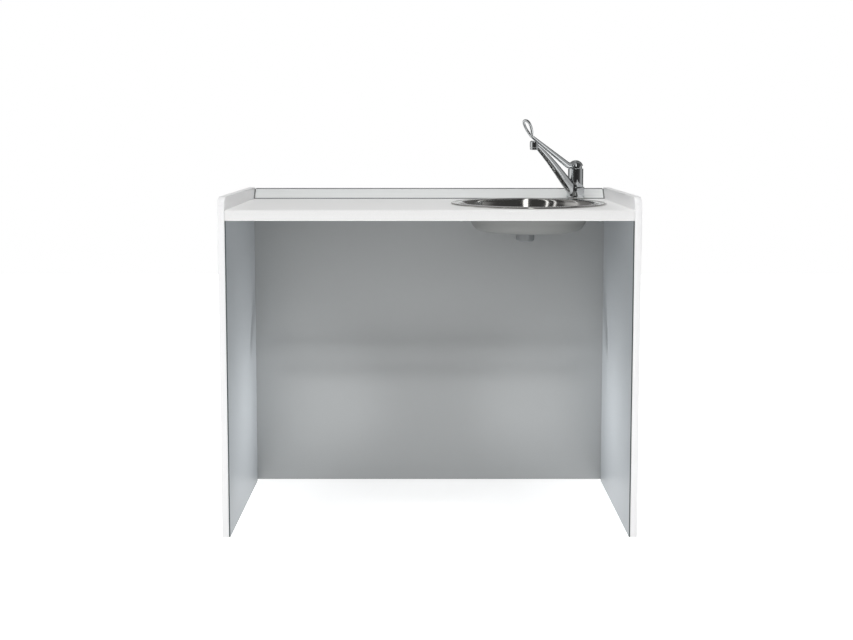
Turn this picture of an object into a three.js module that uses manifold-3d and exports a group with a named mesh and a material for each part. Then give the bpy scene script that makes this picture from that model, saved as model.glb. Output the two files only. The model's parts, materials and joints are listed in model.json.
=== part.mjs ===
// Kneehole handwash station: two white side panels, a grey lined knee space, a worktop with a
// shallow round bowl, and a single-lever mixer with a long loop lever.
// Millimetres. +X to the right, +Y to the rear, +Z up. The origin is on the floor, under the
// middle of the station.
import * as THREE from "three";
import { mergeVertices } from "three/addons/utils/BufferGeometryUtils.js";
import Module from "manifold-3d";

const wasm = await Module();
wasm.setup();

// ---- Driving dimensions ----
const GAP = 0.3; // left between pieces that touch
const INNER_WIDTH = 1050; // between the side boards
const BOARD = 18;
const DEPTH = 500;
const SIDE_HEIGHT = 895;
const TOP_Z = 862; // worktop surface
const TOP_THICKNESS = 28;
const CORNER_RADIUS = 28; // front top corner of a side panel
const EDGE_BAND = 2;
const LINING = 3;
const GLIDE = 3;
const BACK_PANEL_RECESS = 20; // behind the back panel, for the pipes
const BACK_PANEL_LIFT = 8;

// Heights below are measured from the worktop's surface, and y from the middle of the depth.
const SINK = { x: 275, y: 0, rim: 216, opening: 183, cutout: 198, depth: 75, sheet: 1.2 };
const WASTE = { y: 82, flange: 32, bore: 19.2, axis: -97, pipe: 12.5, wall: 1.8 };
const TAP = { x: 433.5, y: 196, base: 25, body: 22.5, core: 17.2, pivot: 93.7, hole: 17.5 };
const ARM_TURN = 220; // degrees from +X, for both the spout and the lever at rest
const SPOUT = { reach: 176, outlet: 150, collarBottom: 5.3, collarTop: 37, collar: 26 };
const LEVER = { bend: [186, 186], tip: [213, 233.6], cavity: 20, seam: 14, seamLift: 3.8 };

const HALF_INNER = INNER_WIDTH / 2;
const HALF_WIDTH = HALF_INNER + BOARD;
const HALF_DEPTH = DEPTH / 2;
const TOP_UNDERSIDE = TOP_Z - TOP_THICKNESS;
const BACK_FACE = HALF_DEPTH - BACK_PANEL_RECESS;
const BACK_FRONT = BACK_FACE - BOARD;

// ---- Finishes ----
const finish = (color, roughness, metalness) => () =>
  new THREE.MeshStandardMaterial({ color, roughness, metalness });
const whiteLaminate = finish(0xf3f3f4, 0.35, 0);
const greyLaminate = finish(0x9da1a4, 0.42, 0.35);
const anodised = finish(0xcfd3d6, 0.32, 0.8);
const darkLip = finish(0x6e7273, 0.6, 0);
const chrome = finish(0xdfe2e4, 0.06, 1);
const stainless = finish(0xc6c7c5, 0.24, 1);
const zincSteel = finish(0xb4b7ba, 0.35, 1);
const copper = finish(0xb87351, 0.3, 1);
const rubber = finish(0x26282a, 0.75, 0);
const greyPlastic = finish(0x7f8487, 0.5, 0);
const creamPlastic = finish(0xe5e3dc, 0.45, 0);

// ---- Solids ----
const vec = (x, y, z = 0) => new THREE.Vector3(x, y, z);

// Six times the volume inside a skin; negative where its faces point inwards.
function signedVolume(position, index) {
  const corner = (i) => vec(position[3 * i], position[3 * i + 1], position[3 * i + 2]);
  let volume = 0;
  for (let i = 0; i < index.length; i += 3) {
    volume += corner(index[i]).dot(corner(index[i + 1]).cross(corner(index[i + 2])));
  }
  return volume;
}

// A closed geometry as a solid that can be joined and cut, with its faces pointing outwards.
function solid(geometry) {
  const bare = geometry.clone();
  bare.deleteAttribute("normal");
  bare.deleteAttribute("uv");
  const merged = mergeVertices(bare, 1e-3);
  const index = merged.index.array;
  const position = merged.attributes.position.array;
  const inward = signedVolume(position, index) < 0;
  const kept = [];
  for (let i = 0; i < index.length; i += 3) {
    const [a, b, c] = [index[i], index[i + 1], index[i + 2]];
    const whole = a !== b && b !== c && c !== a;
    if (whole) kept.push(...(inward ? [a, c, b] : [a, b, c]));
  }
  const mesh = { numProp: 3, vertProperties: position, triVerts: new Uint32Array(kept) };
  return new wasm.Manifold(new wasm.Mesh(mesh));
}

function geometryOf(body) {
  const mesh = body.getMesh();
  const geometry = new THREE.BufferGeometry();
  geometry.setAttribute("position", new THREE.BufferAttribute(mesh.vertProperties, 3));
  geometry.setIndex(new THREE.BufferAttribute(mesh.triVerts, 1));
  return geometry;
}

function box(x0, x1, y0, y1, z0, z1) {
  const geometry = new THREE.BoxGeometry(x1 - x0, y1 - y0, z1 - z0);
  return solid(geometry.translate((x0 + x1) / 2, (y0 + y1) / 2, (z0 + z1) / 2));
}

// A profile of [radius, height] points turned about +Z; it closes on itself.
function turned(points, segments = 24) {
  const profile = [...points, points[0]].map(([r, z]) => new THREE.Vector2(r, z));
  return solid(new THREE.LatheGeometry(profile, segments).rotateX(Math.PI / 2));
}

const rod = (radius, z0, z1, segments = 20) =>
  turned([[0, z0], [radius, z0], [radius, z1], [0, z1]], segments);
const tube = (inner, outer, z0, z1, segments = 24) =>
  turned([[inner, z0], [outer, z0], [outer, z1], [inner, z1]], segments);

function outline(points) {
  return new THREE.Shape(points.map(([x, y]) => new THREE.Vector2(x, y)));
}

// A shape drawn in Y and Z, carried along X from x0 to x1.
const ALONG_X = new THREE.Matrix4().makeBasis(vec(0, 1), vec(0, 0, 1), vec(1, 0));
function alongX(shape, x0, x1, curveSegments = 8) {
  const options = { depth: x1 - x0, bevelEnabled: false, curveSegments };
  return solid(new THREE.ExtrudeGeometry(shape, options).applyMatrix4(ALONG_X)).translate([x0, 0, 0]);
}

// A turned piece laid down so that its axis runs along Y, towards the rear.
const lyingY = (body, x, y, z) => body.rotate([-90, 0, 0]).translate([x, y, z]);

// Rings of equal point count joined into one closed skin with flat ends.
function loft(rings) {
  const count = rings[0].length;
  const points = rings.flat();
  const index = [];
  const at = (ring, i) => ring * count + (i % count);
  for (let ring = 0; ring < rings.length - 1; ring += 1) {
    for (let i = 0; i < count; i += 1) {
      index.push(at(ring, i), at(ring, i + 1), at(ring + 1, i + 1));
      index.push(at(ring, i), at(ring + 1, i + 1), at(ring + 1, i));
    }
  }
  const last = rings.length - 1;
  for (let i = 1; i < count - 1; i += 1) {
    index.push(at(0, 0), at(0, i + 1), at(0, i));
    index.push(at(last, 0), at(last, i), at(last, i + 1));
  }
  const geometry = new THREE.BufferGeometry().setFromPoints(points);
  geometry.setIndex(index);
  return solid(geometry);
}

// An oval bar swept along a curve in the XZ plane. size(t) gives [half width, half thickness].
function ovalBar(curve, size, stations, sides = 14) {
  const rings = [];
  for (let s = 0; s <= stations; s += 1) {
    const t = s / stations;
    const centre = curve.getPointAt(t);
    const along = curve.getTangentAt(t);
    const up = vec(-along.z, 0, along.x);
    const [wide, thick] = size(t);
    const ring = [];
    for (let i = 0; i < sides; i += 1) {
      const angle = (2 * Math.PI * i) / sides;
      const point = centre.clone().addScaledVector(up, thick * Math.cos(angle));
      ring.push(point.add(vec(0, wide * Math.sin(angle))));
    }
    rings.push(ring);
  }
  return loft(rings);
}

// ---- The exported scene ----
const station = new THREE.Group();
const sink = new THREE.Group();
sink.position.set(SINK.x, SINK.y, TOP_Z);
const tap = new THREE.Group();
tap.position.set(TAP.x, TAP.y, TOP_Z);
const spoutArm = new THREE.Group();
spoutArm.rotation.z = THREE.MathUtils.degToRad(ARM_TURN);
const leverArm = new THREE.Group();
leverArm.rotation.z = THREE.MathUtils.degToRad(ARM_TURN);
tap.add(spoutArm, leverArm);
station.add(sink, tap);

function put(parent, name, body, material) {
  const mesh = new THREE.Mesh(geometryOf(body), material());
  mesh.name = name;
  parent.add(mesh);
}

// ---- Carcass screws ----
const SCREW = { head: 5, headLength: 4, shank: 3.5, length: 50 };
const SCREWS = [
  ["top_front", -150, TOP_Z - TOP_THICKNESS / 2],
  ["top_rear", 110, TOP_Z - TOP_THICKNESS / 2],
  ["back_upper", (BACK_FRONT + BACK_FACE) / 2, 700],
  ["back_lower", (BACK_FRONT + BACK_FACE) / 2, 140],
];

// The screw stands with its head at z = 0 and its tip below; grow makes the hole for it.
function screwBody(grow = 0) {
  const tip = -SCREW.length - grow;
  const neck = -SCREW.headLength - grow;
  return turned([
    [0, tip], [SCREW.shank + grow, tip], [SCREW.shank + grow, neck],
    [SCREW.head + grow, neck], [SCREW.head + grow, grow ? 1 : 0], [0, grow ? 1 : 0],
  ], 8);
}

// side is +1 on the right and -1 on the left; the head is just below the outer face.
const screwAt = (body, side, y, z) =>
  body.rotate([0, 90 * side, 0]).translate([side * (HALF_WIDTH - GAP), y, z]);

function drilled(body, side) {
  return SCREWS.reduce((left, [, y, z]) => left.subtract(screwAt(screwBody(GAP), side, y, z)), body);
}

// ---- Side panels, edge bands and linings ----
const FRONT = -HALF_DEPTH;
const ARC = { y: FRONT + CORNER_RADIUS, z: SIDE_HEIGHT - CORNER_RADIUS };
const leftOf = (side) => Math.min(side * HALF_INNER, side * HALF_WIDTH);

// The board, drawn in Y and Z: its front, corner and top stand back by the edge band.
function sidePanel(side) {
  const shape = new THREE.Shape();
  shape.moveTo(HALF_DEPTH, GLIDE);
  shape.lineTo(HALF_DEPTH, SIDE_HEIGHT - EDGE_BAND);
  shape.absarc(ARC.y, ARC.z, CORNER_RADIUS - EDGE_BAND, Math.PI / 2, Math.PI, false);
  shape.lineTo(FRONT + EDGE_BAND, GLIDE);
  return drilled(alongX(shape, leftOf(side), leftOf(side) + BOARD), side);
}

// The band runs up the front, round the corner and back along the top.
function edgeBand(side) {
  const inner = EDGE_BAND - GAP;
  const shape = new THREE.Shape();
  shape.moveTo(FRONT, GLIDE);
  shape.absarc(ARC.y, ARC.z, CORNER_RADIUS, Math.PI, Math.PI / 2, true);
  shape.lineTo(HALF_DEPTH, SIDE_HEIGHT);
  shape.lineTo(HALF_DEPTH, SIDE_HEIGHT - inner);
  shape.absarc(ARC.y, ARC.z, CORNER_RADIUS - inner, Math.PI / 2, Math.PI, false);
  shape.lineTo(FRONT + inner, GLIDE);
  return alongX(shape, leftOf(side), leftOf(side) + BOARD);
}

function innerLining(side) {
  const face = side * (HALF_INNER - GAP);
  const back = side * (HALF_INNER - GAP - LINING);
  const low = -HALF_DEPTH + EDGE_BAND;
  return box(Math.min(face, back), Math.max(face, back), low, BACK_FRONT - GAP, GLIDE, TOP_UNDERSIDE - GAP);
}

function floorGlide(side, y) {
  const x = side * (HALF_INNER + BOARD / 2);
  const [half, radius] = [14, 7];
  const shape = new THREE.Shape();
  shape.absarc(x, y + half, radius, 0, Math.PI, false);
  shape.absarc(x, y - half, radius, Math.PI, 2 * Math.PI, false);
  const options = { depth: GLIDE - GAP, bevelEnabled: false, curveSegments: 4 };
  return solid(new THREE.ExtrudeGeometry(shape, options));
}

for (const [word, side] of [["left", -1], ["right", 1]]) {
  put(station, `${word}_side_panel`, sidePanel(side), whiteLaminate);
  put(station, `${word}_edge_band`, edgeBand(side), whiteLaminate);
  put(station, `${word}_inner_lining`, innerLining(side), greyLaminate);
  for (const [end, y] of [["front", -190], ["rear", 190]]) {
    put(station, `${word}_${end}_glide`, floorGlide(side, y), creamPlastic);
  }
  for (const [place, y, z] of SCREWS) {
    put(station, `${word}_${place}_screw`, screwAt(screwBody(), side, y, z), zincSteel);
  }
}

// ---- Back panel ----
function backPanel() {
  const half = HALF_INNER - GAP;
  const notchHalf = 32;
  const notchSill = 790;
  const wasteHole = WASTE.pipe + 1;
  const board = box(-half, half, BACK_FRONT, BACK_FACE, BACK_PANEL_LIFT, TOP_UNDERSIDE - GAP);
  const notch = box(TAP.x - notchHalf, TAP.x + notchHalf, BACK_FRONT - 1, BACK_FACE + 1, notchSill, TOP_Z);
  const hole = lyingY(rod(wasteHole, -BOARD, BOARD), SINK.x, BACK_FRONT + BOARD / 2, TOP_Z + WASTE.axis);
  return drilled(drilled(board.subtract(notch).subtract(hole), 1), -1);
}
put(station, "back_panel", backPanel(), greyLaminate);

// ---- Worktop ----
function worktop() {
  const [front, rear] = [-HALF_DEPTH + EDGE_BAND, HALF_DEPTH];
  const nose = 5; // radius of the rolled front edge
  const shape = new THREE.Shape();
  shape.moveTo(rear, TOP_UNDERSIDE);
  shape.lineTo(rear, TOP_Z);
  shape.lineTo(front + nose, TOP_Z);
  shape.absarc(front + nose, TOP_Z - nose, nose, Math.PI / 2, Math.PI, false);
  shape.absarc(front + nose, TOP_UNDERSIDE + nose, nose, Math.PI, (3 * Math.PI) / 2, false);
  const half = HALF_INNER - GAP;
  const slab = alongX(shape, -half, half, 3);
  const bowlHole = rod(SINK.cutout, -TOP_THICKNESS - 1, 1, 40).translate([SINK.x, SINK.y, TOP_Z]);
  const tapHole = rod(TAP.hole, -TOP_THICKNESS - 1, 1).translate([TAP.x, TAP.y, TOP_Z]);
  return drilled(drilled(slab.subtract(bowlHole).subtract(tapHole), 1), -1);
}
put(station, "worktop", worktop(), whiteLaminate);

// ---- Rear upstand: a sloping hollow profile, two soft lips and two end caps ----
const UPSTAND = { foot: 26, height: 28, capThickness: 3, lip: 2.6, wall: 1.5 };

// The triangle's outline in Y and Z, measured in from the rear and up from the worktop.
function upstandShape(grow = 0) {
  const rear = HALF_DEPTH;
  const front = rear - UPSTAND.foot;
  const top = TOP_Z + UPSTAND.height;
  const base = TOP_Z + GAP;
  return outline([
    [rear, base], [rear, top + grow], [rear - 4, top + grow], [front, base + 2 + grow], [front, base],
  ]);
}

function upstandProfile(half) {
  const { wall } = UPSTAND;
  const rear = HALF_DEPTH - wall;
  const front = HALF_DEPTH - UPSTAND.foot + 3 * wall;
  const shape = upstandShape();
  const base = TOP_Z + GAP + wall;
  shape.holes.push(outline([[rear, base], [rear, TOP_Z + UPSTAND.height - 2 * wall], [front, base]]));
  return alongX(shape, -half, half);
}

const upstandHalf = HALF_INNER - UPSTAND.capThickness - 2 * GAP;
put(station, "upstand_profile", upstandProfile(upstandHalf), anodised);
const lipTop = TOP_Z + UPSTAND.height + GAP;
const topLip = outline([
  [HALF_DEPTH, lipTop], [HALF_DEPTH, lipTop + UPSTAND.lip], [HALF_DEPTH - 3, lipTop + UPSTAND.lip],
  [HALF_DEPTH - 4, lipTop],
]);
put(station, "upstand_top_lip", alongX(topLip, -upstandHalf, upstandHalf), darkLip);
const footFront = HALF_DEPTH - UPSTAND.foot - GAP;
const footLip = outline([
  [footFront, TOP_Z + GAP], [footFront, TOP_Z + UPSTAND.lip], [footFront - 2.2, TOP_Z + GAP],
]);
put(station, "upstand_foot_lip", alongX(footLip, -upstandHalf, upstandHalf), darkLip);
for (const [word, side] of [["left", -1], ["right", 1]]) {
  const x = side > 0 ? upstandHalf + GAP : -upstandHalf - GAP - UPSTAND.capThickness;
  const cap = alongX(upstandShape(1), x, x + UPSTAND.capThickness);
  put(station, `upstand_end_cap_${word}`, cap, darkLip);
}

// ---- Bowl ----
// The bowl's inside from the rim to the middle: [radius, height].
function bowlCurve() {
  const { rim, opening, depth } = SINK;
  const point = (r, z) => new THREE.Vector2(r, z);
  const roll = new THREE.QuadraticBezierCurve(
    point(opening + 4, 3), point(opening - 3, 2.6), point(opening - 5, -8));
  const bend = new THREE.QuadraticBezierCurve(point(160, -46), point(151, -depth), point(118, -depth));
  return [
    [rim, 1.4], [rim - 1.4, 2.8], [rim - 6, 3.4], [rim - 14, 3.4],
    ...roll.getPoints(3).map((p) => [p.x, p.y]),
    ...bend.getPoints(4).map((p) => [p.x, p.y]),
    [0, -depth],
  ];
}

// The sheet's underside is its inside moved square to the curve by the sheet's thickness.
function sinkBowl() {
  const inside = bowlCurve();
  const last = inside.length - 1;
  const outside = inside.map(([r, z], i) => {
    const [r0, z0] = inside[Math.max(i - 1, 0)];
    const [r1, z1] = inside[Math.min(i + 1, last)];
    const scale = SINK.sheet / Math.hypot(r1 - r0, z1 - z0);
    return [r + scale * (z0 - z1), z + scale * (r1 - r0)];
  });
  outside[0] = [SINK.rim, 0.5];
  outside[last] = [0, -SINK.depth - SINK.sheet];
  const sheet = turned([...inside, ...outside.reverse()], 40);
  return sheet.subtract(rod(WASTE.bore + 1.8, -100, 0).translate([0, WASTE.y, 0]));
}
put(sink, "sink_bowl", sinkBowl(), stainless);
put(sink, "sink_rim_seal", tube(SINK.cutout + 1, SINK.rim - 6, GAP, 1.8, 40), rubber);

// ---- Bowl clips: a bent strap hung from the rim, and a screw that jacks against the worktop ----
const CLIP_ANGLES = [22, 158, 202, 338];
const CLIP = { finger: 189, tail: 214, halfWidth: 7, plate: 2, drop: -36, screwAt: 204, screw: 2 };

function sinkClip() {
  const { finger, tail, halfWidth, plate, drop, screwAt, screw } = CLIP;
  const upright = box(finger, finger + plate, -halfWidth, halfWidth, drop, 1);
  const foot = box(finger, tail, -halfWidth, halfWidth, drop - plate, drop);
  const eye = rod(screw + GAP, drop - 5, drop + 5, 8).translate([screwAt, 0, 0]);
  return upright.add(foot).subtract(eye);
}

function sinkClipScrew() {
  const head = 4;
  const low = CLIP.drop - 7;
  const top = -TOP_THICKNESS - GAP;
  const neck = low + 4;
  const profile = [[0, low], [head, low], [head, neck], [CLIP.screw, neck], [CLIP.screw, top], [0, top]];
  return turned(profile, 8).translate([CLIP.screwAt, 0, 0]);
}

CLIP_ANGLES.forEach((degrees, i) => {
  put(sink, `sink_clip_${i + 1}`, sinkClip().rotate([0, 0, degrees]), zincSteel);
  put(sink, `sink_clip_screw_${i + 1}`, sinkClipScrew().rotate([0, 0, degrees]), zincSteel);
});

// ---- Waste: flange, strainer, washer, low side-outlet body, nut, pipe and wall collar ----
const waste = new THREE.Group();
waste.position.set(0, WASTE.y, 0);
sink.add(waste);
const FLOOR = -SINK.depth;
const UNDER = FLOOR - SINK.sheet;
const OUTLET = { cup: 26, cupBore: 23.5, spigot: 14.8, spigotEnd: 52, bottom: -113, pipeStart: 32 };
const pipeBore = WASTE.pipe + GAP;

function wasteFlange() {
  const { flange, bore } = WASTE;
  const seat = FLOOR + GAP;
  const wall = 1.2;
  return turned([
    [bore, seat - 16], [bore + wall, seat - 16], [bore + wall, seat], [flange, seat],
    [flange, seat + 0.8], [flange - 2, seat + 1.8], [bore + 4, seat + 1.2], [bore, seat - 3],
  ]);
}

// A domed disc with a ring of round holes, a centre knob and a short skirt.
function strainerBasket() {
  const radius = WASTE.bore - 0.8;
  const z = FLOOR - 4;
  const [holes, holeRadius, ring] = [6, 2, 11.5];
  let disc = turned([
    [0, z - 2], [radius - 1.5, z - 2], [radius - 1.5, z - 6], [radius, z - 6], [radius, z],
    [radius - 2, z + 0.8], [7, z + 1.6], [3, z + 2], [3, z + 6], [6, z + 8], [5, z + 10], [0, z + 10.5],
  ], 16);
  for (let i = 0; i < holes; i += 1) {
    const angle = (2 * Math.PI * i) / holes;
    const place = [ring * Math.cos(angle), ring * Math.sin(angle), 0];
    disc = disc.subtract(rod(holeRadius, z - 4, z + 4, 6).translate(place));
  }
  return disc;
}

function wasteBody() {
  const { cup, cupBore, spigot, spigotEnd, bottom } = OUTLET;
  const top = UNDER - 2.6 - GAP;
  const floor = bottom + 3;
  const pot = turned([
    [0, bottom], [cup - 4, bottom], [cup, bottom + 4], [cup, top - 4], [WASTE.flange - 1, top - 4],
    [WASTE.flange - 1, top], [cupBore - 2, top], [cupBore, top - 5], [cupBore, floor], [0, floor],
  ]);
  const branch = lyingY(rod(spigot, 10, spigotEnd), 0, 0, WASTE.axis);
  const bore = lyingY(rod(pipeBore, 6, spigotEnd + 1), 0, 0, WASTE.axis);
  return pot.add(branch.subtract(rod(cupBore, floor, 0))).subtract(bore);
}

// Slides over the end of the branch and closes on the pipe.
function wasteNut() {
  const inner = OUTLET.spigot + GAP;
  return turned([
    [inner, -12], [18, -12], [19, -10], [19, 0], [17, 5], [pipeBore, 5], [pipeBore, GAP], [inner, GAP],
  ], 20);
}

put(waste, "waste_flange", wasteFlange(), chrome);
put(waste, "strainer_basket", strainerBasket(), chrome);
put(waste, "waste_washer", tube(WASTE.bore + 2, WASTE.flange - 1, UNDER - 2.6, UNDER - GAP), rubber);
put(waste, "waste_body", wasteBody(), greyPlastic);
put(waste, "waste_nut", lyingY(wasteNut(), 0, OUTLET.spigotEnd, WASTE.axis), greyPlastic);
const pipeEnd = HALF_DEPTH - WASTE.y;
const drainPipe = tube(WASTE.pipe - WASTE.wall, WASTE.pipe, OUTLET.pipeStart, pipeEnd, 24);
put(waste, "waste_pipe", lyingY(drainPipe, 0, 0, WASTE.axis), greyPlastic);
const collarDepth = 3;
const collarFace = BACK_FRONT - GAP - collarDepth - WASTE.y;
const wallCollar = turned([
  [pipeBore, 0], [17, 0], [19, 1.5], [19, collarDepth], [pipeBore, collarDepth],
], 24);
put(waste, "pipe_collar", lyingY(wallCollar, 0, collarFace, WASTE.axis), greyPlastic);

// ---- Tap: the fixed body, its seal, and the washer, plate and nut that clamp it ----
const SHANK = { radius: 16, bore: 11, end: -42, web: 34 };
const CARTRIDGE = { radius: 13.6, seat: 42, bore: 10.6, floor: 70, top: 80 };
const CARTRIDGE_CASE = CARTRIDGE.radius + 0.4;
const BODY_TOP = TAP.pivot - 2.7;
const BASE_TOP = 3.7;

function tapBody() {
  const { base, core, body } = TAP;
  const neck = SPOUT.collarTop + GAP;
  return turned([
    [SHANK.bore, SHANK.end], [SHANK.radius, SHANK.end], [SHANK.radius, 1.5], [base, 1.5],
    [base, BASE_TOP - 1], [base - 1, BASE_TOP], [core, BASE_TOP], [core, neck], [body - 0.6, neck],
    [body, neck + 0.6], [body, BODY_TOP - 0.8], [body - 0.8, BODY_TOP], [CARTRIDGE_CASE, BODY_TOP],
    [CARTRIDGE_CASE, CARTRIDGE.seat], [0, CARTRIDGE.seat], [0, SHANK.web], [SHANK.bore, SHANK.web],
  ]);
}

const under = -TOP_THICKNESS - GAP;
put(tap, "tap_body", tapBody(), chrome);
put(tap, "tap_base_seal", tube(SHANK.radius + 1, TAP.base - 1, GAP, 1.2), rubber);
put(tap, "tap_clamp_washer", tube(SHANK.radius + 1, 25, under - 2, under, 24), rubber);
put(tap, "tap_clamp_plate", tube(SHANK.radius + 0.6, 24, under - 4, under - 2 - GAP, 24), zincSteel);
const hexNut = rod(24, under - 12, under - 4 - GAP, 6).subtract(rod(SHANK.radius + GAP, -60, 0));
put(tap, "tap_backnut", hexNut, zincSteel);

// ---- Tap: the cartridge, its nut and the domed cover over it ----
const COVER = { radius: 18.8, mouth: 13 };

function cartridgeCover() {
  const foot = Math.asin((BODY_TOP + GAP - TAP.pivot) / COVER.radius);
  const lip = Math.acos(COVER.mouth / COVER.radius);
  const steps = 5;
  const dome = [];
  for (let i = 0; i <= steps; i += 1) {
    const angle = foot + ((lip - foot) * i) / steps;
    dome.push([COVER.radius * Math.cos(angle), TAP.pivot + COVER.radius * Math.sin(angle)]);
  }
  return turned([
    ...dome, [COVER.mouth - 0.6, TAP.pivot + 13.3], [CARTRIDGE_CASE, TAP.pivot + 8],
    [CARTRIDGE_CASE, BODY_TOP + GAP],
  ]);
}

function mixerCartridge() {
  const { radius, seat, bore, floor, top } = CARTRIDGE;
  const low = seat + GAP;
  return turned([[0, low], [radius, low], [radius, top], [bore, top], [bore, floor], [0, floor]], 24);
}

put(tap, "mixer_cartridge", mixerCartridge(), creamPlastic);
const nutTop = CARTRIDGE.top + 5;
put(tap, "cartridge_nut", tube(CARTRIDGE.bore, CARTRIDGE.radius, CARTRIDGE.top + GAP, nutTop, 24), zincSteel);
put(tap, "cartridge_cover", cartridgeCover(), chrome);

// ---- Tap: supply tails and their inlet unions ----
const TAIL = { radius: 5, x: 5.3, start: 0, bend: 16, unionX: 14, unionStart: 34 };
for (const [word, side] of [["hot", -1], ["cold", 1]]) {
  const low = SHANK.end - 4 - TAIL.bend;
  const [x0, x1] = [side * TAIL.x, side * TAIL.unionX];
  const corner = vec((x0 + x1) / 2, TAIL.bend * 0.9, low);
  const path = new THREE.CurvePath();
  path.add(new THREE.LineCurve3(vec(x0, 0, TAIL.start), vec(x0, 0, low + TAIL.bend)));
  path.add(new THREE.CubicBezierCurve3(
    vec(x0, 0, low + TAIL.bend), vec(x0, 0, low + 2), vec(x0, 4, low), corner));
  path.add(new THREE.CubicBezierCurve3(
    corner, vec(x1 - side, 22, low), vec(x1, 26, low), vec(x1, TAIL.unionStart + 4, low)));
  const section = new THREE.Shape().absarc(0, 0, TAIL.radius, 0, 2 * Math.PI);
  const options = { extrudePath: path, steps: 14, curveSegments: 4, bevelEnabled: false };
  put(tap, `${word}_tail`, solid(new THREE.ExtrudeGeometry(section, options)), copper);
  const end = HALF_DEPTH - TAP.y;
  const nut = rod(11, TAIL.unionStart, TAIL.unionStart + 10, 6);
  const barrel = rod(8, TAIL.unionStart + 5, end, 12);
  const socket = rod(TAIL.radius + GAP, TAIL.unionStart - 1, TAIL.unionStart + 6, 12);
  const union = nut.add(barrel).subtract(socket);
  put(tap, `${word}_inlet_union`, lyingY(union, x1, 0, low), zincSteel);
}

// ---- Tap: swivel spout ----
// The arm climbs from the collar to the outlet, which points straight down.
function spout() {
  const { reach, outlet, collarBottom, collarTop, collar } = SPOUT;
  const curve = new THREE.CatmullRomCurve3([
    vec(14, 0, 20), vec(30, 0, 40), vec(60, 0, 72), vec(118, 0, 123), vec(reach - 4, 0, outlet + 14),
  ]);
  const arm = ovalBar(curve, (t) => [12.5 - 3.5 * t, 16.5 - 12 * t], 9, 12);
  const drop = turned([
    [0, outlet + 4], [11, outlet + 4], [11, outlet + 13], [9.6, outlet + 16],
    [5, outlet + 17.5], [0, outlet + 17.5],
  ], 16).translate([reach, 0, 0]);
  const ring = rod(collar, collarBottom, collarTop, 28);
  const mouth = rod(11.5, 0, outlet + 4, 16).translate([reach, 0, 0]);
  const trimmed = arm.subtract(rod(200, -60, collarBottom, 8)).subtract(mouth);
  const core = rod(TAP.core + 0.4, -10, 200);
  return ring.add(trimmed).add(drop).subtract(core).subtract(rod(TAP.body + 0.5, collarTop, 200));
}
put(spoutArm, "spout", spout(), chrome);
put(tap, "spout_glide_ring", tube(TAP.core + 0.4, 24, BASE_TOP + GAP, BASE_TOP + 1.3), creamPlastic);

function aerator() {
  const z = SPOUT.outlet;
  const top = z + 4 - GAP;
  return turned([
    [0, z + 1.5], [7.5, z + 1.5], [8, z], [9.6, z], [10.4, z + 1], [10.4, top], [0, top],
  ], 20).translate([SPOUT.reach, 0, 0]);
}
put(spoutArm, "aerator", aerator(), chrome);

// ---- Tap: turning carrier, pin and lever ----
const PIN = { radius: 1.5, half: 8 };
const pinHole = () => lyingY(rod(PIN.radius + GAP, -20, 20, 8), 0, 0, TAP.pivot);

function cartridgeCarrier() {
  const disc = rod(CARTRIDGE.bore - GAP, CARTRIDGE.floor + GAP, nutTop, 20);
  const ears = box(-4, 4, -PIN.half, PIN.half, nutTop - 1, TAP.pivot + 4);
  const slot = box(-5, 5, -4.6, 4.6, nutTop, TAP.pivot + 10);
  return disc.add(ears.subtract(slot)).subtract(pinHole());
}
put(leverArm, "cartridge_carrier", cartridgeCarrier(), creamPlastic);
put(leverArm, "lever_pin", lyingY(rod(PIN.radius, -PIN.half, PIN.half, 8), 0, 0, TAP.pivot), zincSteel);

// The loop at the lever's end: a flat ring in the plane of the lever's last stretch.
function leverLoop() {
  const [[r0, z0], [r1, z1]] = [LEVER.bend, LEVER.tip];
  const length = Math.hypot(r1 - r0, z1 - z0);
  const up = vec((r1 - r0) / length, 0, (z1 - z0) / length);
  const across = vec(0, 1);
  const through = across.clone().cross(up);
  const thickness = 7;
  const rim = 7;
  const [foot, half] = [5.5, 17]; // half widths where the loop starts and near its end
  const ring = (path, inset, start) => {
    const [top, wide] = [length - inset, half - inset];
    path.moveTo(0, start);
    path.quadraticCurveTo(foot, start, wide * 0.75, start + 14);
    path.quadraticCurveTo(wide + 1, start + 24, wide, top - 7);
    path.quadraticCurveTo(wide, top, wide - 6, top);
    path.lineTo(-wide + 6, top);
    path.quadraticCurveTo(-wide, top, -wide, top - 7);
    path.quadraticCurveTo(-wide - 1, start + 24, -wide * 0.75, start + 14);
    path.quadraticCurveTo(-foot, start, 0, start);
    return path;
  };
  const shape = ring(new THREE.Shape(), 0, -4);
  shape.holes.push(ring(new THREE.Path(), rim, 9));
  const options = { depth: thickness, bevelEnabled: false, curveSegments: 4 };
  const plate = new THREE.ExtrudeGeometry(shape, options).translate(0, 0, -thickness / 2);
  plate.applyMatrix4(new THREE.Matrix4().makeBasis(across, up, through));
  return solid(plate.translate(r0, 0, z0));
}

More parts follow.
